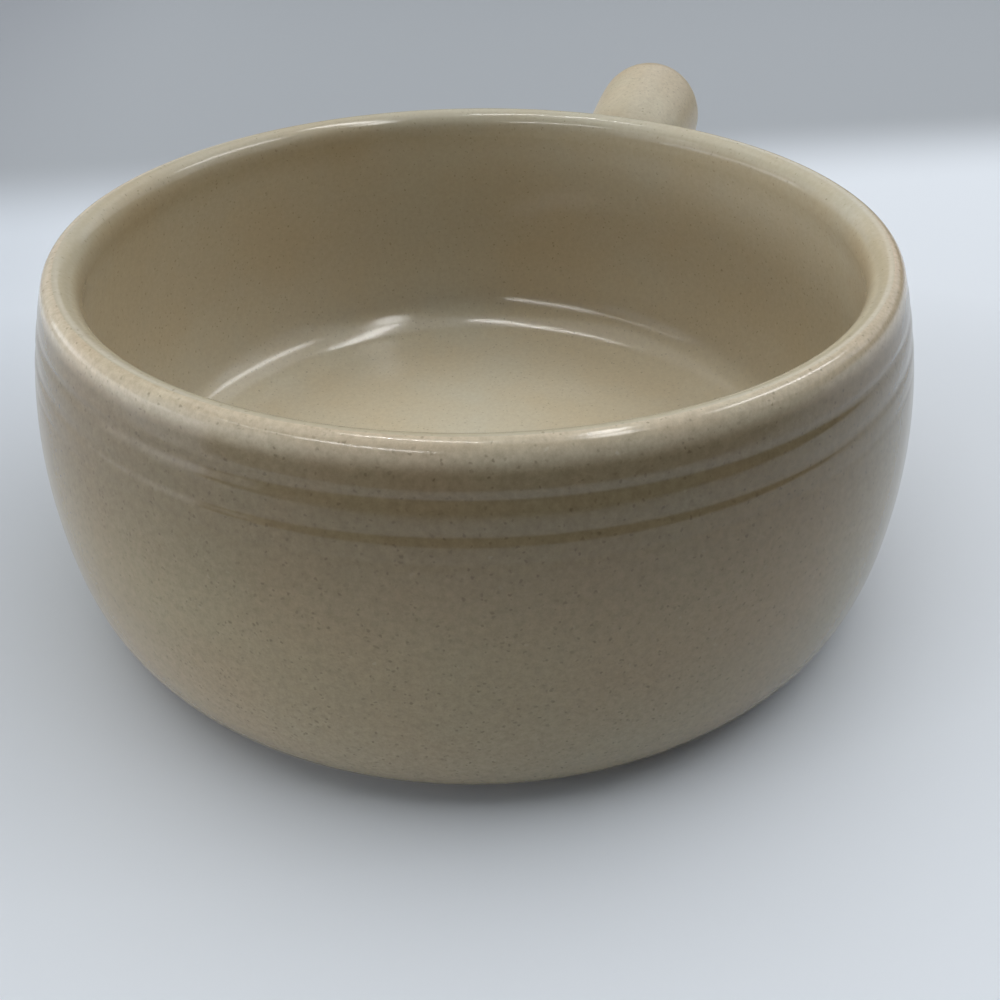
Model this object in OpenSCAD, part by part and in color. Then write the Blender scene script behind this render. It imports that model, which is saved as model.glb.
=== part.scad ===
// Soup bowl in glazed stoneware with one hollow stick handle.
// The bowl is turned about Z and stands on its foot ring at Z = 0. The handle points along +X.
// Outside sizes are measured over the fired glaze, and the clay lies one glaze coat inside them.

/* [Bowl] */
// Outer diameter at the rim
rim_d = 139; // [120:1:165]
// Height from the table to the crest of the rim
bowl_h = 60.4; // [56:0.1:72]
// How far the belly stands out past the rim all round
belly_out = 6.5; // [4:0.1:10]
// Height of the widest place of the belly
belly_h = 24.5; // [20:0.1:28]
// Thickness of the wall at the belly
wall_t = 6.7; // [5:0.1:8]
// Height of the glazed floor inside
floor_h = 6.5; // [5.5:0.1:9]
// Height of the widest place of the inside
well_belly_h = 28; // [24:0.1:32]
// Width of the rounded corner between the floor and the wall inside
well_corner_w = 22.3; // [16:0.1:30]

/* [Rim] */
// Thickness of the rim just under its crest
rim_w = 5.6; // [4.6:0.1:7]
// Height of the round on the outside of the rim
rim_outer_round = 3.4; // [2:0.1:4]
// Height of the round on the inside of the rim
rim_inner_round = 4; // [3:0.1:5]

/* [Rings under the rim] */
// Depth of the deepest ring
ring_depth = 0.28; // [0.2:0.02:0.4]
// Reach of the widest side of a ring, from its deepest place
ring_w = 1.2; // [0.9:0.1:1.5]
// Distance from the crest down to the upper ring
upper_ring_drop = 6.4; // [5.8:0.1:7.2]
// Distance from the crest down to the middle ring
middle_ring_drop = 10.7; // [9.8:0.1:11.4]
// Distance from the crest down to the faint lower ring
lower_ring_drop = 14; // [13.6:0.1:16]

/* [Foot] */
// How far the foot ring lies in under the belly all round
foot_inset = 11; // [8:0.1:20]
// Width of the flat of the foot ring
foot_w = 4.5; // [3:0.1:7]
// Height of the foot ring outside, under the curve of the bowl
foot_h = 1.2; // [0.8:0.1:2]
// Depth of the recess inside the foot ring
recess_h = 2; // [1:0.1:3]
// How much wider the foot ring is at its top than at the table
foot_taper = 1.5; // [0.5:0.1:2]

/* [Handle] */
// Length of the handle from the belly to its tip
handle_len = 66.4; // [58:0.1:90]
// Distance from the crest of the rim down to where the axis of the handle meets the belly
handle_drop = 25.4; // [22.4:0.1:28.4]
// Upward tilt of the handle, in degrees
handle_tilt = 10.5; // [5:0.5:14]
// Radius of the handle where it meets the bowl
root_r = 12.6; // [11.5:0.1:14]
// Radius of the neck, the thinnest place of the handle
neck_r = 11.6; // [10.5:0.1:12.5]
// Distance from the belly to the neck
neck_at = 16; // [14:0.5:20]
// Radius of the handle at its thick end
grip_r = 13.8; // [12.8:0.1:16]
// Length of the rounded end
end_len = 14; // [10:0.5:18]
// Thickness of the handle's wall
handle_wall = 4.6; // [3.6:0.1:5.4]
// Reach of the slip fillet from the belly along the handle
fillet_len = 8; // [6:0.5:10]
// How far the slip fillet spreads on the wall of the bowl
fillet_r = 7; // [4:0.1:8]
// Diameter of the vent hole under the handle
vent_d = 3.2; // [2.4:0.1:4]
// Distance from the belly to the vent hole
vent_at = 18; // [16:0.5:24]

/* [Glaze] */
// Thickness of the fired glaze
glaze_t = 0.35; // [0.25:0.05:0.5]
// Height above the foot ring's top at which the outside glaze starts
glaze_line = 1; // [0.5:0.1:3]
// Bare margin between the glaze in the recess and the foot ring
recess_margin = 1; // [0.6:0.1:2]

/* [Hidden] */

bare_clay = [0.83, 0.76, 0.64];
slip_clay = [0.80, 0.72, 0.60];
cream_glaze = [0.80, 0.76, 0.66];
inside_cream = [0.82, 0.77, 0.65];

round_fn = 180;
vent_fn = 48;
curve_steps = 14;
wall_steps = 7;
rim_steps = 6;
grip_steps = 9;
root_steps = 9;
few_steps = 3;
ring_steps = 34;

// The belly's curve down to the foot and the inside's corner are superellipses with these powers
belly_power = 2.5;
well_power = 2.8;
grip_end_power = 1.7;
fillet_power = 2.2;
// Shares of ring_depth that the upper, middle and lower ring have
ring_depth_shares = [1, 0.7, 0.2];
// Shares of ring_w that they reach up and down from their deepest place
ring_up_shares = [0.55, 1, 0.5];
ring_down_shares = [0.62, 0.46, 0.5];
// Share of the rim's width that lies outside its crest
crest_share = 0.43;
// The handle's turned outlines start this share of the wall's thickness behind the belly, inside the cut
root_depth_share = 1.6;

rim_r = rim_d / 2;
belly_r = rim_r + belly_out;
foot_r = belly_r - foot_inset;
foot_inner_r = foot_r - foot_w;
well_r = belly_r - wall_t;
crest_r = rim_r - rim_w * crest_share;
rim_outer_w = rim_w * crest_share;
rim_inner_w = rim_w - rim_outer_w;
ring_drops = [upper_ring_drop, middle_ring_drop, lower_ring_drop];
handle_h = bowl_h - handle_drop;
root_depth = wall_t * root_depth_share;

// Unit vector along v
function unit(v) = v / norm(v);

// v turned a quarter turn to the left
function left(v) = [-v[1], v[0]];

// Mitred step to the left of point i of path p, for an offset of one length unit
function step_left(p, i) =
    let (
        last = len(p) - 1,
        before = unit(p[max(i, 1)] - p[max(i, 1) - 1]),
        after = unit(p[min(i, last - 1) + 1] - p[min(i, last - 1)]),
        mitre = unit(left(before) + left(after))
    )
    mitre / (mitre * left(after));

// Path p moved d to its left, which is into the clay
function moved_in(p, d) = [for (i = [0:len(p) - 1]) p[i] + d * step_left(p, i)];

// Part of list p from index a to b
function part_of(p, a, b) = [for (i = [a:b]) p[i]];

function reversed(p) = [for (i = [len(p) - 1:-1:0]) p[i]];

// The n - 1 values that split the stretch from a to b into n
function between(a, b, n) = n < 2 ? [] : [for (i = [1:n - 1]) a + (b - a) * i / n];

function sum(v) = v * [for (x = v) 1];

// Point at angle a of a quarter superellipse that lies flat at low, a = 90, and stands upright at high, a = 0
function corner_point(low, high, power, a) = [
    low[0] + (high[0] - low[0]) * pow(cos(a), 2 / power),
    low[1] + (high[1] - low[1]) * (1 - pow(sin(a), 2 / power))
];

// Angle at which that quarter superellipse reaches height z
function corner_angle(low, high, power, z) = asin(pow(1 - (z - low[1]) / (high[1] - low[1]), power / 2));

// The superellipse from angle a to angle b in n steps
function corner(low, high, power, a, b, n) = [
    for (i = [0:n]) corner_point(low, high, power, a + (b - a) * i / n)
];

// Angle on a rim round, w wide and h high, at which it runs on from a wall that leans in by this tangent
function meet(w, h, lean) = atan(h / w * lean);

// Outside of the rim
rim_outer_low = bowl_h - rim_outer_round;
outer_lean = 2 * belly_out / (rim_outer_low - belly_h);
outer_meet = meet(rim_outer_w, rim_outer_round, outer_lean);
wall_top = [
    crest_r + rim_outer_w * cos(outer_meet),
    rim_outer_low + rim_outer_round * sin(outer_meet)
];

// Inside of the rim
rim_inner_low = bowl_h - rim_inner_round;
well_top_r = crest_r - rim_inner_w;
inner_lean = 2 * (well_r - well_top_r) / (rim_inner_low - well_belly_h);
inner_meet = meet(rim_inner_w, rim_inner_round, inner_lean);
well_top = [
    crest_r - rim_inner_w * cos(inner_meet),
    rim_inner_low - rim_inner_round * sin(inner_meet)
];

// Depth of the turned rings at height z
function ring_dip(z) = sum([
    for (i = [0:len(ring_drops) - 1])
        let (
            off = z - bowl_h + ring_drops[i],
            reach = ring_w * (off > 0 ? ring_up_shares[i] : ring_down_shares[i])
        )
        ring_depth * ring_depth_shares[i] * exp(-pow(off / reach, 2))
]);

// Radius of the outside wall at height z, between the belly and the rim
function wall_r(z) =
    belly_r - (belly_r - wall_top[0]) * pow((z - belly_h) / (wall_top[1] - belly_h), 2) - ring_dip(z);

// Heights at which the outside wall has a point, from the belly up to the rim
rings_low = bowl_h - lower_ring_drop - ring_w;
wall_heights = concat(
    between(belly_h, rings_low, wall_steps),
    [rings_low],
    between(rings_low, wall_top[1], ring_steps),
    [wall_top[1]]
);

// The curve under the belly, and the angle on it at which the glaze starts
under_low = [foot_r + foot_taper, foot_h];
under_high = [belly_r, belly_h];
glaze_angle = corner_angle(under_low, under_high, belly_power, foot_h + glaze_line);

// Outline of the glazed surface: under the belly, up the wall, over the crest, down to the floor's middle
outer_line = concat(
    part_of(corner(under_low, under_high, belly_power, 90, glaze_angle, few_steps), 0, few_steps - 1),
    corner(under_low, under_high, belly_power, glaze_angle, 0, curve_steps),
    [for (z = wall_heights) [wall_r(z), z]],
    [
        for (i = [1:rim_steps])
            let (a = outer_meet + (90 - outer_meet) * i / rim_steps)
            [crest_r + rim_outer_w * cos(a), rim_outer_low + rim_outer_round * sin(a)]
    ]
);
glaze_index = few_steps;
crest_index = len(outer_line) - 1;

inner_line = concat(
    [
        for (i = [1:rim_steps + 1])
            let (a = 90 - (90 + inner_meet) * i / (rim_steps + 1))
            [crest_r - rim_inner_w * cos(a), rim_inner_low + rim_inner_round * sin(a)]
    ],
    [
        for (t = between(1, 0, wall_steps))
            [well_r - (well_r - well_top[0]) * t * t, well_belly_h + (well_top[1] - well_belly_h) * t]
    ],
    corner([well_r - well_corner_w, floor_h], [well_r, well_belly_h], well_power, 0, 90, curve_steps),
    [[0, floor_h]]
);

glaze_face = concat(outer_line, inner_line);
clay_face = moved_in(glaze_face, glaze_t);

// Filled outline of the bowl over the glaze, or of its clay, used to cut what meets the wall
function filled(p) = concat(part_of(p, 0, crest_index), [[0, p[crest_index][1]], [0, p[0][1]]]);

module turned(p) {
    rotate_extrude($fn = round_fn) polygon(p);
}

// Handle outlines are [radius, distance along the handle's axis from the belly]
grip_at = handle_len - end_len;

function eased(u) = u * u * (3 - 2 * u);

function handle_r(s) =
    s < neck_at
    ? neck_r + (root_r - neck_r) * pow(1 - max(s, 0) / neck_at, 2)
    : neck_r + (grip_r - neck_r) * eased((s - neck_at) / (grip_at - neck_at));

// The fillet has its full spread as deep behind the belly as the wall is thick
function fillet_rise(s) =
    fillet_r * pow((fillet_len - max(s, -wall_t)) / (fillet_len + wall_t), fillet_power);

root_places = concat([-root_depth, -wall_t], between(-wall_t, fillet_len, root_steps), [fillet_len]);
grip_places = concat(
    between(fillet_len, neck_at, few_steps),
    [neck_at],
    between(neck_at, grip_at, grip_steps)
);
fillet_index = len(root_places) - 1;

// Outline of the glazed handle, with the slip fillet where rise is 1 and without it where rise is 0
function handle_line(rise) = concat(
    [for (s = root_places) [handle_r(s) + rise * fillet_rise(s), s]],
    [for (s = grip_places) [handle_r(s), s]],
    corner([0, handle_len], [grip_r, grip_at], grip_end_power, 0, 90, curve_steps)
);

// A path moved in by d whose last point stays on the axis
function moved_in_to_axis(p, d) =
    let (q = moved_in(p, d), last = len(p) - 1)
    concat(part_of(q, 0, last - 1), [[0, p[last][1] - d]]);

handle_glaze_face = handle_line(1);
handle_clay_face = moved_in_to_axis(handle_glaze_face, glaze_t);
bare_handle_face = moved_in_to_axis(handle_line(0), glaze_t);
cavity_face = moved_in_to_axis(handle_line(0), glaze_t + handle_wall);

// The cast handle alone: its own outline under the fillet, and the shared one past it
handle_clay = concat(
    part_of(bare_handle_face, 0, fillet_index - 1),
    part_of(handle_clay_face, fillet_index, len(handle_clay_face) - 1)
);

module at_handle() {
    translate([belly_r, 0, handle_h]) rotate([0, 90 - handle_tilt, 0]) children();
}

// A solid of revolution about the handle's axis, from an outline that ends on that axis
module handle_turned(p) {
    at_handle() turned(concat(p, [[0, p[0][1]]]));
}

module vent() {
    at_handle() translate([0, 0, vent_at]) rotate([0, 90, 0]) cylinder(d = vent_d, h = grip_r, $fn = vent_fn);
}

// Jiggered clay bowl in one piece: floor, wall, rolled rim and trimmed foot ring
module bowl_body() {
    ceiling = recess_h + glaze_t;
    color(bare_clay) turned(concat(
        clay_face,
        [[0, ceiling], [foot_inner_r, ceiling], [foot_inner_r, 0], [foot_r, 0]]
    ));
}

// Slip-cast hollow handle, closed at its end and open towards the wall that it is luted to
module stick_handle() {
    color(bare_clay) difference() {
        handle_turned(handle_clay);
        handle_turned(cavity_face);
        vent();
        turned(filled(clay_face));
    }
}

// Ring of clay slip that lutes the handle to the wall and fills the corner between them
module handle_slip_joint() {
    color(slip_clay) difference() {
        at_handle() turned(concat(
            part_of(handle_clay_face, 0, fillet_index),
            reversed(part_of(bare_handle_face, 0, fillet_index - 1))
        ));
        turned(filled(clay_face));
    }
}

// Glaze from just above the foot to the crest of the rim, with a hole where the handle seats on clay
module outside_glaze() {
    color(cream_glaze) difference() {
        turned(concat(
            part_of(glaze_face, glaze_index, crest_index),
            reversed(part_of(clay_face, glaze_index, crest_index))
        ));
        handle_turned(handle_clay_face);
    }
}

// Glaze from the crest of the rim down the inside and across the floor
module inside_glaze() {
    last = len(glaze_face) - 1;
    color(inside_cream) turned(concat(
        part_of(glaze_face, crest_index, last),
        reversed(part_of(clay_face, crest_index, last))
    ));
}

// Glaze over the slip joint and the whole handle, open at the vent hole
module handle_glaze() {
    color(cream_glaze) difference() {
        handle_turned(handle_glaze_face);
        handle_turned(handle_clay_face);
        vent();
        turned(filled(glaze_face));
    }
}

// Glaze on the ceiling of the recess inside the foot ring
module recess_glaze() {
    color(cream_glaze) translate([0, 0, recess_h])
        cylinder(r = foot_inner_r - recess_margin, h = glaze_t, $fn = round_fn);
}

bowl_body();
stick_handle();
handle_slip_joint();
outside_glaze();
inside_glaze();
handle_glaze();
recess_glaze();
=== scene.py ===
import math

import bmesh
import bpy
from mathutils import Matrix, Vector


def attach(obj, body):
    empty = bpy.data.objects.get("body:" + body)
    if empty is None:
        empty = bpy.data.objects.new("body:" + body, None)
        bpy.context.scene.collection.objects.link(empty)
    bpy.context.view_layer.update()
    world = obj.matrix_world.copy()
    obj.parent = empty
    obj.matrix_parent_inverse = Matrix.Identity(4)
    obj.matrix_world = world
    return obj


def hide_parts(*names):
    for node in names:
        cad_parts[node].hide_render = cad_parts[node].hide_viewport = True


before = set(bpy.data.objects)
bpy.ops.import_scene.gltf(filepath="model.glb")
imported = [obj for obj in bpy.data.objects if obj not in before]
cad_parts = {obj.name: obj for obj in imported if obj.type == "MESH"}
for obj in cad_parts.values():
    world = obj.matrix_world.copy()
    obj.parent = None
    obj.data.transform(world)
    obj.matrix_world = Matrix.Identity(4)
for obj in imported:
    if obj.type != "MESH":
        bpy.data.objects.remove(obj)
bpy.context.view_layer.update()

# The bowl's clay body: buff stoneware, jiggered over a turning mould in one piece, then trimmed at the
# foot while leather-hard. The glaze hides all of it but the foot ring, which is wiped bare so that it
# doesn't stick to the kiln shelf.
MM = 0.001
rim_r = 69.5 * MM
bowl_h = 60.4 * MM
belly_out = 6.5 * MM
belly_r = rim_r + belly_out
belly_h = 24.5 * MM
belly_power = 2.5
wall_t = 6.7 * MM
well_r = belly_r - wall_t
well_belly_h = 28 * MM
well_corner_w = 22.3 * MM
well_power = 2.8
floor_h = 6.5 * MM

rim_w = 5.6 * MM
rim_outer_w = 0.43 * rim_w
rim_inner_w = rim_w - rim_outer_w
rim_outer_round = 3.4 * MM
rim_inner_round = 4 * MM
crest_r = rim_r - rim_outer_w

# Each turned ring under the rim: its distance below the crest, its depth, and how far it reaches up and down
rings = [
    (6.4 * MM, 0.19 * MM, 0.70 * MM, 0.80 * MM),
    (10.7 * MM, 0.17 * MM, 1.20 * MM, 0.60 * MM),
    (14.0 * MM, 0.05 * MM, 0.60 * MM, 0.60 * MM),
]
rings_low = bowl_h - 17 * MM

foot_set_in = 11 * MM
foot_r = belly_r - foot_set_in
foot_ring_w = 4.5 * MM
foot_inner_r = foot_r - foot_ring_w
foot_h = 1.2 * MM
foot_taper = 1.5 * MM
foot_round = 0.5 * MM
recess_h = 2 * MM

glaze_t = 0.35 * MM
bare_above_foot = 1 * MM
glaze_start = foot_h + bare_above_foot

turned_steps = 240
wall_step = 1.5 * MM
ring_step = 0.25 * MM
well_steps = 16
same_place = 0.001 * MM


def flat(r, z):
    """A point of an outline, at distance r from the axis and height z."""
    return Vector((r, 0, z))


def corner(low, high, power, first, last, steps):
    """A quarter superellipse that lies flat at low, 90 degrees, and stands upright at high, 0 degrees."""
    points = []
    for i in range(steps + 1):
        a = math.radians(first + (last - first) * i / steps)
        r = low.x + (high.x - low.x) * max(math.cos(a), 0) ** (2 / power)
        z = low.z + (high.z - low.z) * (1 - max(math.sin(a), 0) ** (2 / power))
        points.append(flat(r, z))
    return points


def round_over(centre, w, h, first, last, steps):
    """Part of an ellipse w wide and h high about centre, from angle first to angle last, in degrees."""
    angles = [math.radians(first + (last - first) * i / steps) for i in range(steps + 1)]
    return [centre + flat(w * math.cos(a), h * math.sin(a)) for a in angles]


def meet(w, h, lean):
    """Angle on a rim round at which it runs on from a wall that leans in by this tangent."""
    return math.degrees(math.atan(h / w * lean))


outer_centre = flat(crest_r, bowl_h - rim_outer_round)
outer_meet = meet(rim_outer_w, rim_outer_round, 2 * (belly_r - rim_r) / (outer_centre.z - belly_h))
wall_top = round_over(outer_centre, rim_outer_w, rim_outer_round, outer_meet, 90, 1)[0]

inner_centre = flat(crest_r, bowl_h - rim_inner_round)
inner_lean = 2 * (well_r - crest_r + rim_inner_w) / (inner_centre.z - well_belly_h)
inner_meet = meet(rim_inner_w, rim_inner_round, inner_lean)
well_top = round_over(inner_centre, rim_inner_w, rim_inner_round, 180 + inner_meet, 90, 1)[0]


def wall_r(z):
    """Radius of the glazed outside at height z, from the belly up to the rim, with the turned rings."""
    r = belly_r - (belly_r - wall_top.x) * ((z - belly_h) / (wall_top.z - belly_h)) ** 2
    for drop, depth, reach_up, reach_down in rings:
        off = z - bowl_h + drop
        r -= depth * math.exp(-((off / (reach_up if off > 0 else reach_down)) ** 2))
    return r


def heights(low, high, step):
    """Heights from low up to just under high, about one step apart."""
    count = math.ceil((high - low) / step)
    return [low + (high - low) * i / count for i in range(count)]


# The outline up the outside: the rounding under the belly, of which the glaze covers all but the lowest, the
# wall with its rings, and the outer round of the rim as far as the crest
under_low = flat(foot_r + foot_taper, foot_h)
under_high = flat(belly_r, belly_h)
underneath = corner(under_low, under_high, belly_power, 90, 0, 40)
outside = [p for p in underneath[:-1] if p.z > glaze_start]
outside += [flat(wall_r(z), z) for z in heights(belly_h, rings_low, wall_step)]
outside += [flat(wall_r(z), z) for z in heights(rings_low, wall_top.z, ring_step)]
outside += round_over(outer_centre, rim_outer_w, rim_outer_round, outer_meet, 90, 18)

# The outline down the inside: the inner round of the rim, the wall, the corner and the flat floor, whose
# rings lie closer together near the corner
floor_rings = [r * MM for r in (45, 43, 40, 34, 26, 17, 8, 0)]
inside = round_over(inner_centre, rim_inner_w, rim_inner_round, 90, 180 + inner_meet, 20)
for i in range(1, well_steps):
    t = 1 - i / well_steps
    r = well_r - (well_r - well_top.x) * t * t
    inside.append(flat(r, well_belly_h + (well_top.z - well_belly_h) * t))
inside += corner(flat(well_r - well_corner_w, floor_h), flat(well_r, well_belly_h), well_power, 0, 90, 30)
inside += [flat(r, floor_h) for r in floor_rings]


def moved_in(path, d):
    """An outline moved d to its left, which is from the glazed surface into the clay."""
    moved = []
    for i, p in enumerate(path):
        ahead = path[min(i + 1, len(path) - 1)] - path[max(i - 1, 0)]
        moved.append(p + flat(-ahead.z, ahead.x).normalized() * d)
    return moved


def turned(bm, path, steps=turned_steps, closed=False):
    """Spins an outline once round Z. An outline whose ends lie on the axis gives a closed skin."""
    verts = [bm.verts.new(p) for p in path]
    edges = [bm.edges.new(pair) for pair in zip(verts, verts[1:])]
    if closed:
        edges.append(bm.edges.new((verts[-1], verts[0])))
    bmesh.ops.spin(
        bm, geom=verts + edges, cent=(0, 0, 0), axis=(0, 0, 1), angle=2 * math.pi, steps=steps, use_merge=True
    )
    bmesh.ops.remove_doubles(bm, verts=bm.verts, dist=same_place)
    bmesh.ops.recalc_face_normals(bm, faces=bm.faces)


def finished(name, bm, material):
    """Makes a smooth-shaded object of a bmesh, with its sharp edges kept."""
    mesh = bpy.data.meshes.new(name)
    for face in bm.faces:
        face.smooth = True
    bm.to_mesh(mesh)
    bm.free()
    mesh.materials.append(material)
    piece = bpy.data.objects.new(name, mesh)
    bpy.context.scene.collection.objects.link(piece)
    return piece


def linear(code):
    """Turns an sRGB hex value into a linear colour."""
    parts = [int(code[i:i + 2], 16) / 255 for i in (1, 3, 5)]
    return [c / 12.92 if c <= 0.04045 else ((c + 0.055) / 1.055) ** 2.4 for c in parts] + [1]


def add(material, kind, inputs, **settings):
    """Adds a node with its settings. An input given as a socket is linked, and any other is a value.
    A MapRange has its value at 0, the range it comes from at 1 and 2, and the range it goes to at 3 and 4.
    A Mix of colours has its share at 0 and its colours at 6 and 7."""
    node = material.node_tree.nodes.new("ShaderNode" + kind)
    for name, value in settings.items():
        setattr(node, name, value)
    for key, value in inputs.items():
        if isinstance(value, bpy.types.NodeSocket):
            material.node_tree.links.new(value, node.inputs[key])
        else:
            node.inputs[key].default_value = value
    return node


def new_material(name):
    """An empty node material and its Object coordinates."""
    material = bpy.data.materials.new(name)
    material.use_nodes = True
    material.node_tree.nodes.clear()
    return material, add(material, "TexCoord", {}).outputs["Object"]


def surfaced(material, shader):
    """Gives a material its surface."""
    add(material, "OutputMaterial", {"Surface": shader.outputs[0]})


# Bare fired stoneware: unglazed clay, wiped with a sponge. It looks matt and sandy, with dark iron specks
# and a slightly rough feel from grog of about 0.5 mm.
bare_stoneware, at = new_material("bare_stoneware_sponged")
grog_w = 0.5 * MM
grog_h = 0.12 * MM
toast_w = 18 * MM
grog = add(bare_stoneware, "TexNoise", {"Vector": at, "Scale": 1 / grog_w, "Detail": 3, "Roughness": 0.6})
toast = add(bare_stoneware, "TexNoise", {"Vector": at, "Scale": 1 / toast_w, "Detail": 2})
body_tone = add(
    bare_stoneware, "Mix", {0: toast.outputs["Fac"], 6: linear("#C9B490"), 7: linear("#B59A72")},
    data_type="RGBA",
)
grit_share = add(bare_stoneware, "MapRange", {0: grog.outputs["Fac"], 1: 0.35, 2: 0.7, 3: 0.0, 4: 0.55})
body_colour = add(
    bare_stoneware, "Mix", {0: grit_share.outputs[0], 6: body_tone.outputs[2], 7: linear("#8E7550")},
    data_type="RGBA",
)
body_bump = add(bare_stoneware, "Bump", {"Height": grog.outputs["Fac"], "Strength": 0.7, "Distance": grog_h})
surfaced(bare_stoneware, add(bare_stoneware, "BsdfPrincipled", {
    "Base Color": body_colour.outputs[2], "Roughness": 0.85, "IOR": 1.45, "Normal": body_bump.outputs[0],
}))

clay_top = moved_in(outside, glaze_t)[:-1] + moved_in(inside, glaze_t)
clay_foot = [p for p in underneath if p.z <= glaze_start]
ceiling = recess_h + glaze_t
underside = [flat(0, ceiling), flat(foot_inner_r, ceiling), flat(foot_inner_r, 0), flat(foot_r, 0)]
bm = bmesh.new()
turned(bm, underside + moved_in(clay_foot, glaze_t) + clay_top[:-1] + [flat(0, floor_h - glaze_t)])


def lies_on(edge, r, z):
    """Whether an edge runs round the bowl at radius r and height z."""
    places = [(math.hypot(v.co.x, v.co.y), v.co.z) for v in edge.verts]
    return all(math.dist(place, (r, z)) < same_place for place in places)


foot_corners = [(foot_inner_r, ceiling), (foot_inner_r, 0), (foot_r, 0)]
foot_edges = [e for e in bm.edges if any(lies_on(e, r, z) for r, z in foot_corners)]
bmesh.ops.bevel(bm, geom=foot_edges, offset=foot_round, segments=4, profile=0.5, affect="EDGES", material=-1)
clay_body = finished("clay_body", bm, bare_stoneware)
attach(clay_body, "root")
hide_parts("bowl_body")


# The outside glaze: one glossy oatmeal coat, sprayed on the biscuit-fired bowl from just above the foot to
# the crest of the rim. Iron in the clay bleeds through it as a fine brown speckle.
drift_w = 40 * MM
mottle_w = 1.1 * MM
ragged_w = 0.7 * MM
speck_core_share = 0.35
sag_w = 14 * MM
sag_h = 0.12 * MM
peel_w = 0.6 * MM


def oatmeal_glaze(name, base, warm, mottle, mottle_share, specks, peel_h, rub, painted_light_tones, way="Z", reach=bowl_h):
    """Glossy stoneware glaze. Its colour drifts between base and warm under a fine mottle. Specks are
    listed as cell, spread, share of the cells that hold one, colour and strength. Painted light tones are
    places along one axis, up to reach, each a tint of painted shade and light multiplied into the colour. It
    shines as melted glass does, a little duller in places, with a slow sag and a fine orange peel."""
    material, at = new_material(name)

    drift = add(material, "TexNoise", {"Vector": at, "Scale": 1 / drift_w, "Detail": 5, "Roughness": 0.6})
    drift_share = add(material, "MapRange", {0: drift.outputs["Fac"], 1: 0.35, 2: 0.65, 3: 0.0, 4: 1.0})
    tone = add(
        material, "Mix", {0: drift_share.outputs[0], 6: linear(base), 7: linear(warm)}, data_type="RGBA"
    )

    grain = add(material, "TexNoise", {"Vector": at, "Scale": 1 / mottle_w, "Detail": 4, "Roughness": 0.75})
    grain_share = add(
        material, "MapRange", {0: grain.outputs["Fac"], 1: 0.3, 2: 0.7, 3: 0.0, 4: mottle_share}
    )
    mottled = add(
        material, "Mix", {0: grain_share.outputs[0], 6: tone.outputs[2], 7: linear(mottle)}, data_type="RGBA"
    )

    wander = add(material, "TexNoise", {"Vector": at, "Scale": 1 / ragged_w, "Detail": 1})
    shift = add(
        material, "VectorMath", {0: wander.outputs["Color"], 1: (ragged_w,) * 3}, operation="MULTIPLY"
    )
    ragged = add(material, "VectorMath", {0: at, 1: shift.outputs[0]}, operation="ADD")
    colour = mottled.outputs[2]
    for cell, spread, kept, speck, strength in specks:
        cells = add(material, "TexVoronoi", {"Vector": ragged.outputs[0], "Scale": 1 / cell})
        edge = spread / cell
        spot = add(
            material, "MapRange",
            {0: cells.outputs["Distance"], 1: edge * speck_core_share, 2: edge, 3: 1.0, 4: 0.0},
            interpolation_type="SMOOTHSTEP",
        )
        luck = add(material, "SeparateColor", {0: cells.outputs["Color"]})
        chosen = add(material, "MapRange", {0: luck.outputs[0], 1: 1 - kept, 2: 1.0, 3: 0.0, 4: strength})
        share = add(material, "Math", {0: spot.outputs[0], 1: chosen.outputs[0]}, operation="MULTIPLY")
        specked = add(material, "Mix", {0: share.outputs[0], 6: colour, 7: linear(speck)}, data_type="RGBA")
        colour = specked.outputs[2]

    # The tones: painted shade and light, multiplied into the colour along one axis
    place = add(material, "SeparateXYZ", {0: at})
    level = add(material, "MapRange", {0: place.outputs[way], 1: 0.0, 2: reach, 3: 0.0, 4: 1.0})
    painted_light_ramp = add(material, "ValToRGB", {0: level.outputs[0]})
    painted_light_ramp.color_ramp.interpolation = "EASE"
    stops = painted_light_ramp.color_ramp.elements
    for i, (distance, tint) in enumerate(painted_light_tones):
        stop = stops[i] if i < len(stops) else stops.new(distance / reach)
        stop.position = distance / reach
        stop.color = linear(tint)
    painted_light_colour = add(
        material, "Mix", {0: 1.0, 6: colour, 7: painted_light_ramp.outputs["Color"]},
        data_type="RGBA", blend_type="MULTIPLY",
    )

    sag = add(material, "TexNoise", {"Vector": at, "Scale": 1 / sag_w, "Detail": 1})
    peel = add(material, "TexNoise", {"Vector": at, "Scale": 1 / peel_w, "Detail": 3, "Roughness": 0.65})
    slow = add(material, "Bump", {"Height": sag.outputs["Fac"], "Strength": 1.0, "Distance": sag_h})
    skin = add(
        material, "Bump",
        {"Height": peel.outputs["Fac"], "Strength": 1.0, "Distance": peel_h, "Normal": slow.outputs[0]},
    )
    rubbed = add(material, "MapRange", {0: drift.outputs["Fac"], 1: 0.3, 2: 0.7, 3: rub[0], 4: rub[1]})
    surfaced(material, add(material, "BsdfPrincipled", {
        "Base Color": painted_light_colour.outputs[2], "Roughness": rubbed.outputs[0], "IOR": 1.5, "Normal": skin.outputs[0],
    }))
    return material


outside_specks = (
    (1.0 * MM, 0.30 * MM, 1.00, "#665840", 0.46),
    (6.5 * MM, 0.28 * MM, 0.30, "#5A4B33", 0.40),
    (3.5 * MM, 0.38 * MM, 0.60, "#E6E0CE", 0.45),
)
outside_finish = oatmeal_glaze(
    "oatmeal_glaze_outside_sprayed", "#D6CDB3", "#DAC7AB", "#94866C", 0.44, outside_specks, 0.010 * MM,
    rub=(0.10, 0.16),
    # Painted shade up the outside: the wall darker all over, most on the shoulder under the rim, and the
    # rim's top at full colour
    painted_light_tones=(
        (6 * MM, "#C4BFB2"),
        (30 * MM, "#B8B19E"),
        (52.5 * MM, "#A19A8A"),
        (56.6 * MM, "#A8A194"),
        (59.4 * MM, "#FFFFFF"),
    ),
)

lip_w = 0.8 * MM
back_every = 3


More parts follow.
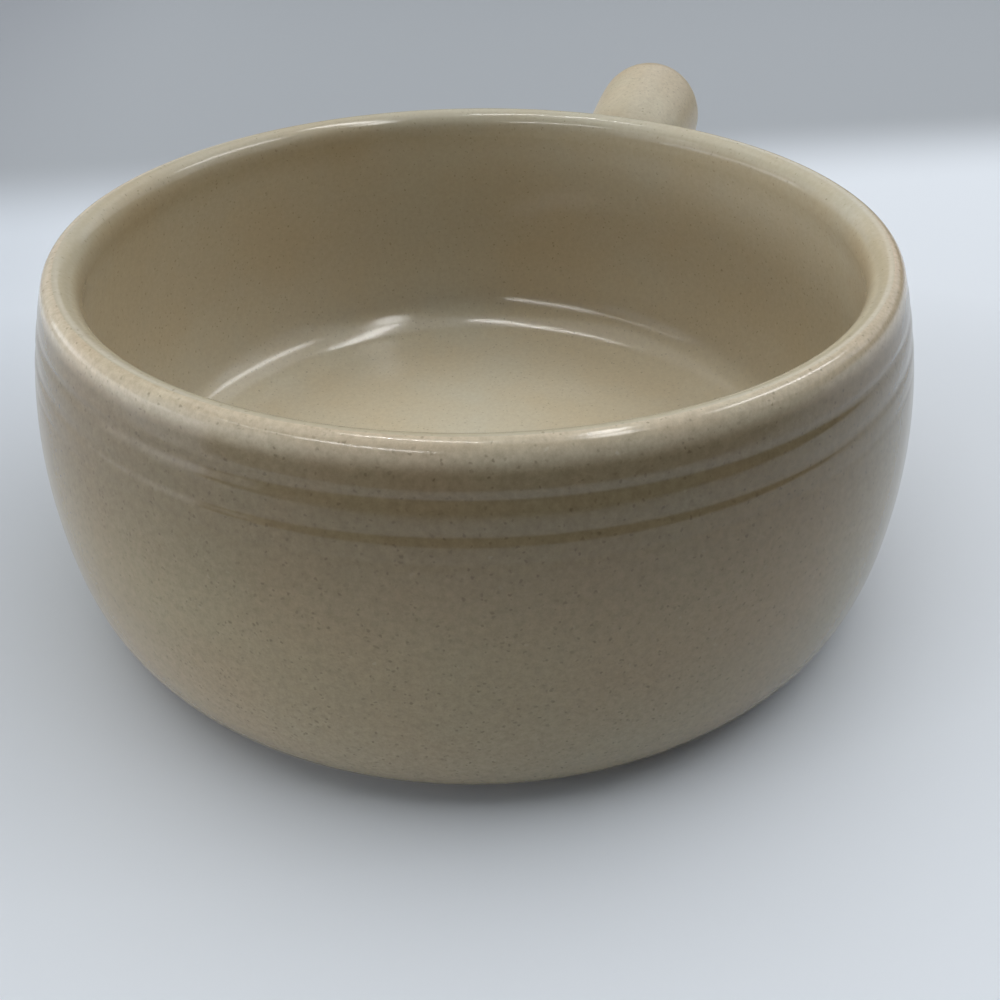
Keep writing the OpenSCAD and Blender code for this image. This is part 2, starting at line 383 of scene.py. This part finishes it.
def coat_back(path):
    """The hidden face of a coat, on the clay, with a third of the points of its glazed face."""
    back = moved_in(path, glaze_t)
    return [p for i, p in enumerate(back) if i % back_every == 0 or i == len(back) - 1]


def thinned(path):
    """The glazed face of a coat whose first end thins to nothing in a round lip."""
    face = []
    gone = 0.0
    for i, (p, on_clay) in enumerate(zip(path, moved_in(path, glaze_t))):
        gone += (p - path[i - 1]).length if i else 0.0
        u = min(gone / lip_w, 1)
        face.append(on_clay + (p - on_clay) * math.sqrt(1 - (1 - u) ** 2))
    return face


def sharpened(bm):
    """Keeps a hard edge where a coat ends at the crest, so that both coats meet there without a seam."""
    for edge in bm.edges:
        if lies_on(edge, crest_r, bowl_h):
            edge.smooth = False


fine_underneath = corner(under_low, under_high, belly_power, 90, 0, 240)
lip = [p for p in fine_underneath if 0 < p.z - glaze_start < lip_w]
before_crest = round_over(outer_centre, rim_outer_w, rim_outer_round, 89.5, 90, 1)[0]
path = lip + [p for p in outside[:-1] if p.z > lip[-1].z] + [before_crest, outside[-1]]
bm = bmesh.new()
turned(bm, thinned(path) + coat_back(path)[:0:-1], closed=True)
sharpened(bm)
outside_coat = finished("outside_coat", bm, outside_finish)
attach(outside_coat, "root")
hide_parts("outside_glaze")


# The inside glaze: the same glaze poured in and out again, so it is a little thicker and warmer. It runs
# from the crest of the rim over the wall and across the floor.
inside_specks = (
    (1.1 * MM, 0.28 * MM, 1.00, "#8A7B60", 0.45),
    (7.5 * MM, 0.34 * MM, 0.35, "#6B5A40", 0.45),
)
inside_finish = oatmeal_glaze(
    "oatmeal_glaze_inside_poured", "#DEDAC7", "#DFD3B7", "#BDB098", 0.34, inside_specks, 0.008 * MM,
    rub=(0.10, 0.16),
    # Painted light and shade down the inside: palest round the corner of the floor, darker up the wall and
    # most under the inner round of the rim
    painted_light_tones=(
        (6.6 * MM, "#F8F7F6"),
        (8.2 * MM, "#FFFFFF"),
        (10.5 * MM, "#FFFFFF"),
        (15 * MM, "#ECEAE9"),
        (33 * MM, "#E2DEDB"),
        (50 * MM, "#E5E2E0"),
        (57 * MM, "#D8D1C7"),
        (59.4 * MM, "#E4E2DD"),
    ),
)

after_crest = round_over(inner_centre, rim_inner_w, rim_inner_round, 90.5, 91, 1)[0]
path = [inside[0], after_crest] + inside[1:]
bm = bmesh.new()
turned(bm, path[::-1] + coat_back(path)[:-1] + [flat(0, floor_h - glaze_t)])
sharpened(bm)
inside_coat = finished("inside_coat", bm, inside_finish)
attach(inside_coat, "root")
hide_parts("inside_glaze")


# The handle's glaze: the outside coat where it runs over the hollow stick handle and down its slip joint
# onto the wall. The handle was cast in a mould, and the joint was smoothed to a soft hollow with a finger.
# Its glaze is duller than the wall's, and carries painted shade: darker at the root by the wall, paler
# towards the end.
handle_len = 66.4 * MM
handle_drop = 25.4 * MM
handle_h = bowl_h - handle_drop
handle_tilt = math.radians(10.5)
root_r = 12.6 * MM
neck_r = 11.6 * MM
neck_at = 16 * MM
grip_r = 13.8 * MM
end_len = 14 * MM
grip_at = handle_len - end_len
grip_end_power = 1.7
hollow_len = 8 * MM
hollow_spread = 4.6 * MM
tuck_w = 0.6 * MM
tuck_deep = 0.03 * MM
bend_from = 2 * MM
vent_d = 3.2 * MM
vent_at = 18 * MM
vent_edge = 0.2 * MM
handle_steps = 160
handle_step = 0.5 * MM
joint_steps = 24
halvings = 30

handle_place = Matrix.Translation((belly_r, 0, handle_h)) @ Matrix.Rotation(math.pi / 2 - handle_tilt, 4, "Y")
handle_way = handle_place.to_3x3() @ Vector((0, 0, 1))


def handle_r(s):
    """Radius of the handle at distance s from the belly."""
    if s < neck_at:
        return neck_r + (root_r - neck_r) * (1 - max(s, 0) / neck_at) ** 2
    u = (s - neck_at) / (grip_at - neck_at)
    return neck_r + (grip_r - neck_r) * u * u * (3 - 2 * u)


def hollow(s):
    """How far the smoothed joint stands out from the handle at distance s from the wall."""
    u = min(max(1 - s / hollow_len, 0), 1)
    return hollow_spread * (1 - math.sqrt(1 - u * u))


def glazed_r(z):
    """Radius of the glazed outside at any height, from the foot to the rim."""
    if z >= belly_h:
        return wall_r(min(z, wall_top.z))
    u = max(1 - (z - foot_h) / (belly_h - foot_h), 0)
    a = math.asin(min(u, 1) ** (belly_power / 2))
    return under_low.x + (belly_r - under_low.x) * math.cos(a) ** (2 / belly_power)


def wall_shift(x, y):
    """Distance along the handle, from its start to the glazed wall, at place x, y across the handle."""
    base = handle_place @ Vector((x, y, 0))
    near, far = -root_r, bend_from
    for _ in range(halvings):
        middle = (near + far) / 2
        p = base + handle_way * middle
        if math.hypot(p.x, p.y) < glazed_r(p.z):
            near = middle
        else:
            far = middle
    return far


def handle_outline():
    """The glazed handle from its joint with the wall to its tip."""
    path = [flat(root_r + hollow_spread + tuck_w, -tuck_deep)]
    for i in range(joint_steps + 1):
        s = hollow_len * (1 - math.sin(math.radians(90 - 90 * i / joint_steps)))
        path.append(flat(handle_r(s) + hollow(s), s))
    path += [flat(handle_r(s), s) for s in heights(hollow_len, grip_at, handle_step)[1:]]
    return path + corner(flat(0, handle_len), flat(grip_r, grip_at), grip_end_power, 0, 90, 30)


def vented(bm):
    """Opens the round vent under the handle, which is its +X side before it is put in place."""
    def off_vent(place):
        return Vector((place.z - vent_at, math.atan2(place.y, place.x) * handle_r(place.z)))

    cut_out = [f for f in bm.faces if off_vent(f.calc_center_median()).length < vent_d / 2 + vent_edge]
    bmesh.ops.delete(bm, geom=cut_out, context="FACES")
    for v in bm.verts:
        off = off_vent(v.co)
        if any(e.is_boundary for e in v.link_edges) and off.length < vent_d:
            off *= vent_d / 2 / off.length
            s = vent_at + off.x
            a = off.y / handle_r(s)
            v.co = (handle_r(s) * math.cos(a), handle_r(s) * math.sin(a), s)


def seated(bm):
    """Bends the root onto the curved wall and puts the handle in its place."""
    for v in bm.verts:
        u = min(max((v.co.z - bend_from) / (neck_at - bend_from), 0), 1)
        if u < 1:
            v.co.z += wall_shift(v.co.x, v.co.y) * (1 - u * u * (3 - 2 * u))
    bmesh.ops.transform(bm, matrix=handle_place, verts=bm.verts)


# Painted shade along the handle: darker at the root by the wall
handle_finish = oatmeal_glaze(
    "oatmeal_glaze_handle_dipped", "#CDC4AA", "#CFBC9F", "#94836A", 0.34, outside_specks, 0.012 * MM,
    rub=(0.30, 0.36),
    painted_light_tones=(
        (74 * MM, "#BFB8A6"),
        (84 * MM, "#C4BEAE"),
        (112 * MM, "#FFFFFF"),
    ),
    way="X",
    reach=142 * MM,
)

bm = bmesh.new()
turned(bm, handle_outline(), steps=handle_steps)
vented(bm)
bmesh.ops.solidify(bm, geom=bm.faces[:], thickness=glaze_t)
bmesh.ops.recalc_face_normals(bm, faces=bm.faces)
seated(bm)
handle_coat = finished("handle_coat", bm, handle_finish)
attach(handle_coat, "root")
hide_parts("handle_glaze", "handle_slip_joint")


# The hollow handle's own clay: slip-cast stoneware, left as it comes from the model. It is glazed all over
# and shows only down the vent hole underneath.
handle_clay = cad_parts["stick_handle"]
handle_clay.data.materials.clear()
handle_clay.data.materials.append(bare_stoneware)


# The glaze in the recess under the foot: the outside glaze again, swilled in as a thin coat and wiped off
# the foot ring.
recess_bare_w = 1 * MM
recess_r = foot_inner_r - recess_bare_w
path = [flat(share * recess_r, recess_h) for share in (0, 0.3, 0.6, 0.9)]
path += round_over(flat(recess_r - glaze_t, recess_h + glaze_t), glaze_t, glaze_t, -90, 0, 6)
path += [flat(0, recess_h + glaze_t)]
bm = bmesh.new()
turned(bm, path)
recess_coat = finished("recess_coat", bm, outside_finish)
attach(recess_coat, "root")
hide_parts("recess_glaze")


# The table: a sheet of pale, slightly blue paper, uncoated, so that it looks matt. Its colour carries painted
# shade: darker beyond a fold line behind the bowl and to its left, and a painted shadow round the bowl.
# Places on it are to the right of the bowl's middle and away from the camera, in metres.
camera_turn = Matrix.Rotation(math.radians(-69.1), 4, "Z")
paper_turn = math.radians(59.6)
fold_near = 0.165
fold_far = 0.250
left_shade_near = -0.050
left_shade_far = -0.150
far_shade_near = -0.100
far_shade_far = -0.260
# Where the painted shadow round the bowl lies, and how far it reaches
painted_shadow_at = (-0.030, 0.020, 0)
painted_shadow_reach = (0.22, 0.10, 1)
table_r = 4

paper, at = new_material("pale_paper_uncoated")
paper_place = add(paper, "Mapping", {"Vector": at, "Rotation": (0, 0, paper_turn)})
paper_axes = add(paper, "SeparateXYZ", {0: paper_place.outputs[0]})
# Painted shade: the near paper darker to the left of the bowl
left_shade_share = add(
    paper, "MapRange", {0: paper_axes.outputs["X"], 1: left_shade_near, 2: left_shade_far, 3: 0.0, 4: 1.0},
    interpolation_type="SMOOTHSTEP",
)
near_paper = add(
    paper, "Mix", {0: left_shade_share.outputs[0], 6: linear("#E4EAF1"), 7: linear("#D2D9E1")}, data_type="RGBA"
)
# Painted shade: the paper beyond the fold darker to the left
far_shade_share = add(
    paper, "MapRange", {0: paper_axes.outputs["X"], 1: far_shade_near, 2: far_shade_far, 3: 0.0, 4: 1.0},
    interpolation_type="SMOOTHSTEP",
)
far_paper = add(
    paper, "Mix", {0: far_shade_share.outputs[0], 6: linear("#A7ACB1"), 7: linear("#989CA2")}, data_type="RGBA"
)
# Painted shade: the paper darker beyond a fold line behind the bowl
fold_shade_share = add(
    paper, "MapRange", {0: paper_axes.outputs["Y"], 1: fold_near, 2: fold_far, 3: 0.0, 4: 1.0},
    interpolation_type="SMOOTHSTEP",
)
whole_paper = add(
    paper, "Mix", {0: fold_shade_share.outputs[0], 6: near_paper.outputs[2], 7: far_paper.outputs[2]},
    data_type="RGBA",
)
# A painted shadow round the bowl, darkest near its middle
painted_shadow_place = add(
    paper, "Mapping",
    {"Vector": paper_place.outputs[0], "Location": painted_shadow_at, "Scale": painted_shadow_reach},
    vector_type="TEXTURE",
)
painted_shadow_share = add(paper, "TexGradient", {0: painted_shadow_place.outputs[0]}, gradient_type="SPHERICAL")
painted_shadow_tint = add(paper, "MapRange", {0: painted_shadow_share.outputs["Fac"], 1: 0.0, 2: 1.0, 3: 1.0, 4: 0.67})
shaded_paper = add(
    paper, "Mix", {0: 1.0, 6: whole_paper.outputs[2], 7: painted_shadow_tint.outputs[0]},
    data_type="RGBA", blend_type="MULTIPLY",
)
surfaced(paper, add(paper, "BsdfPrincipled", {
    "Base Color": shaded_paper.outputs[2], "Roughness": 0.7, "IOR": 1.4,
}))

bm = bmesh.new()
bmesh.ops.create_circle(bm, cap_ends=True, segments=96, radius=table_r)
table = finished("table", bm, paper)


# The light: soft boxes round the bowl, of which the overhead ones give most. Some of them only light it,
# and the glaze mirrors the others.
def lamp(name, place, turn, size, energy):
    """A rectangular lamp that the camera doesn't see. Its place is right, away from the camera and up."""
    data = bpy.data.lights.new(name, "AREA")
    data.shape = "RECTANGLE"
    data.size, data.size_y = size
    data.energy = energy
    light = bpy.data.objects.new(name, data)
    light.matrix_world = camera_turn @ Matrix.Translation(place) @ turn
    light.visible_camera = False
    bpy.context.scene.collection.objects.link(light)
    return light


def towards(azimuth, elevation, distance):
    """A place at that azimuth, from straight away from the camera to its right, and elevation."""
    a, e = math.radians(azimuth), math.radians(elevation)
    return Vector((math.sin(a) * math.cos(e), math.cos(a) * math.cos(e), math.sin(e))) * distance


# Each soft box: azimuth and elevation in degrees, distance, size, the share of full light that it gives a
# surface at the bowl that faces it, its colour, and whether the glaze mirrors it
daylight = (0.94, 0.98, 1.05)
soft_white = (0.985, 0.985, 0.975)
softboxes = (
    ("overhead_softbox", 0, 80, 1.40, (2.2, 1.5), 0.40, soft_white, True),
    ("overhead_diffuser", 0, 80, 1.45, (2.2, 1.5), 0.64, soft_white, False),
    ("back_softbox", 0, 36, 1.20, (1.0, 0.6), 0.05, daylight, True),
    ("back_right_softbox", 45, 38, 1.20, (1.4, 1.1), 0.20, daylight, True),
    ("right_softbox", 90, 36, 1.20, (0.9, 0.8), 0.09, daylight, True),
    ("left_softbox", 270, 36, 1.20, (0.9, 0.8), 0.03, daylight, True),
    ("low_left_side_softbox", 272, 8, 1.10, (1.2, 0.26), 0.10, daylight, True),
    ("low_left_side_diffuser", 272, 7, 1.15, (1.2, 0.22), 0.31, daylight, False),
    ("low_left_diffuser", 245, 7, 1.00, (1.3, 0.22), 0.26, daylight, False),
    ("low_left_panel", 248, 20, 0.90, (0.6, 0.4), 0.06, daylight, True),
    ("low_back_left_softbox", 315, 16, 1.10, (1.2, 0.5), 0.07, daylight, True),
)
for name, azimuth, elevation, distance, size, share, colour, mirrored in softboxes:
    place = towards(azimuth, elevation, distance)
    turn = place.to_track_quat("Z", "Y").to_matrix().to_4x4()
    softbox = lamp(name, place, turn, size, share * (math.pi * distance) ** 2)
    softbox.data.color = colour
    softbox.visible_glossy = mirrored

# Narrow lamps facing down that only show in the glaze, as the bright lines along the rim and round the
# corner of the well: where each begins and ends, its width and its radiance
glint_h = 0.60
glints = [
    ("rim_bar_left", (-0.850, -0.100), (-0.500, -0.480), 0.026, 9),
    ("rim_bar_front", (-0.500, -0.480), (-0.170, -0.840), 0.040, 24),
    ("rim_patch_panel", (0.146, 0.170), (0.190, -0.095), 0.045, 14),
    ("rim_patch_panel_front", (0.205, -0.120), (0.290, -0.300), 0.090, 9),
    ("well_arc_panel", (0.410, 0.000), (0.650, 0.430), 0.100, 7),
]

# A row of small square lamps, which the corner of the well mirrors as a dotted line
spot_w = 0.020
row_start = Vector((-0.005, -0.055))
row_end = Vector((-0.150, 0.150))
for i in range(7):
    place = row_start.lerp(row_end, i / 6)
    half = Vector((spot_w / 2, 0))
    glints.append(("well_spot_%d" % i, place - half, place + half, spot_w, 50))

for name, start, end, width, radiance in glints:
    start, end = Vector(start), Vector(end)
    along = end - start
    place = ((start + end) / 2).to_3d() + Vector((0, 0, glint_h))
    turn = Matrix.Rotation(math.atan2(along.y, along.x), 4, "Z")
    size = (along.length, width)
    glint = lamp(name, place, turn, size, radiance * math.pi * along.length * width)
    glint.visible_diffuse = False

# The room: a pale backdrop for the camera that adds almost no light
world = bpy.data.worlds.new("room")
bpy.context.scene.world = world
world.use_nodes = True
world.node_tree.nodes.clear()
sight = add(world, "LightPath", {})
dim = add(world, "Background", {"Color": linear("#C8CFD8"), "Strength": 0.02})
pale = add(world, "Background", {"Color": linear("#B4BBC3"), "Strength": 0.8})
both = add(world, "MixShader", {0: sight.outputs["Is Camera Ray"], 1: dim.outputs[0], 2: pale.outputs[0]})
add(world, "OutputWorld", {"Surface": both.outputs[0]})

# The camera stands 198 mm from the bowl's foot, 37 degrees above the table, and is shifted and rolled a
# little, as it was fitted to the rim, the belly and the foot in the picture.
camera_distance = 197.8 * MM
camera_right = 3.88 * MM
camera_up = 0.73 * MM
camera_pitch = math.radians(90 - 37.0)
camera_roll = -0.0050
camera_data = bpy.data.cameras.new("camera")
camera_data.sensor_width = 36
camera_data.lens = 34.48
camera_data.clip_start = 0.01
camera_data.clip_end = 20
camera = bpy.data.objects.new("camera", camera_data)
camera.matrix_world = (
    camera_turn
    @ Matrix.Rotation(camera_pitch, 4, "X")
    @ Matrix.Rotation(camera_roll, 4, "Z")
    @ Matrix.Translation((camera_right, camera_up, camera_distance))
)
bpy.context.scene.collection.objects.link(camera)
bpy.context.scene.camera = camera
bpy.context.scene.view_settings.view_transform = "Standard"
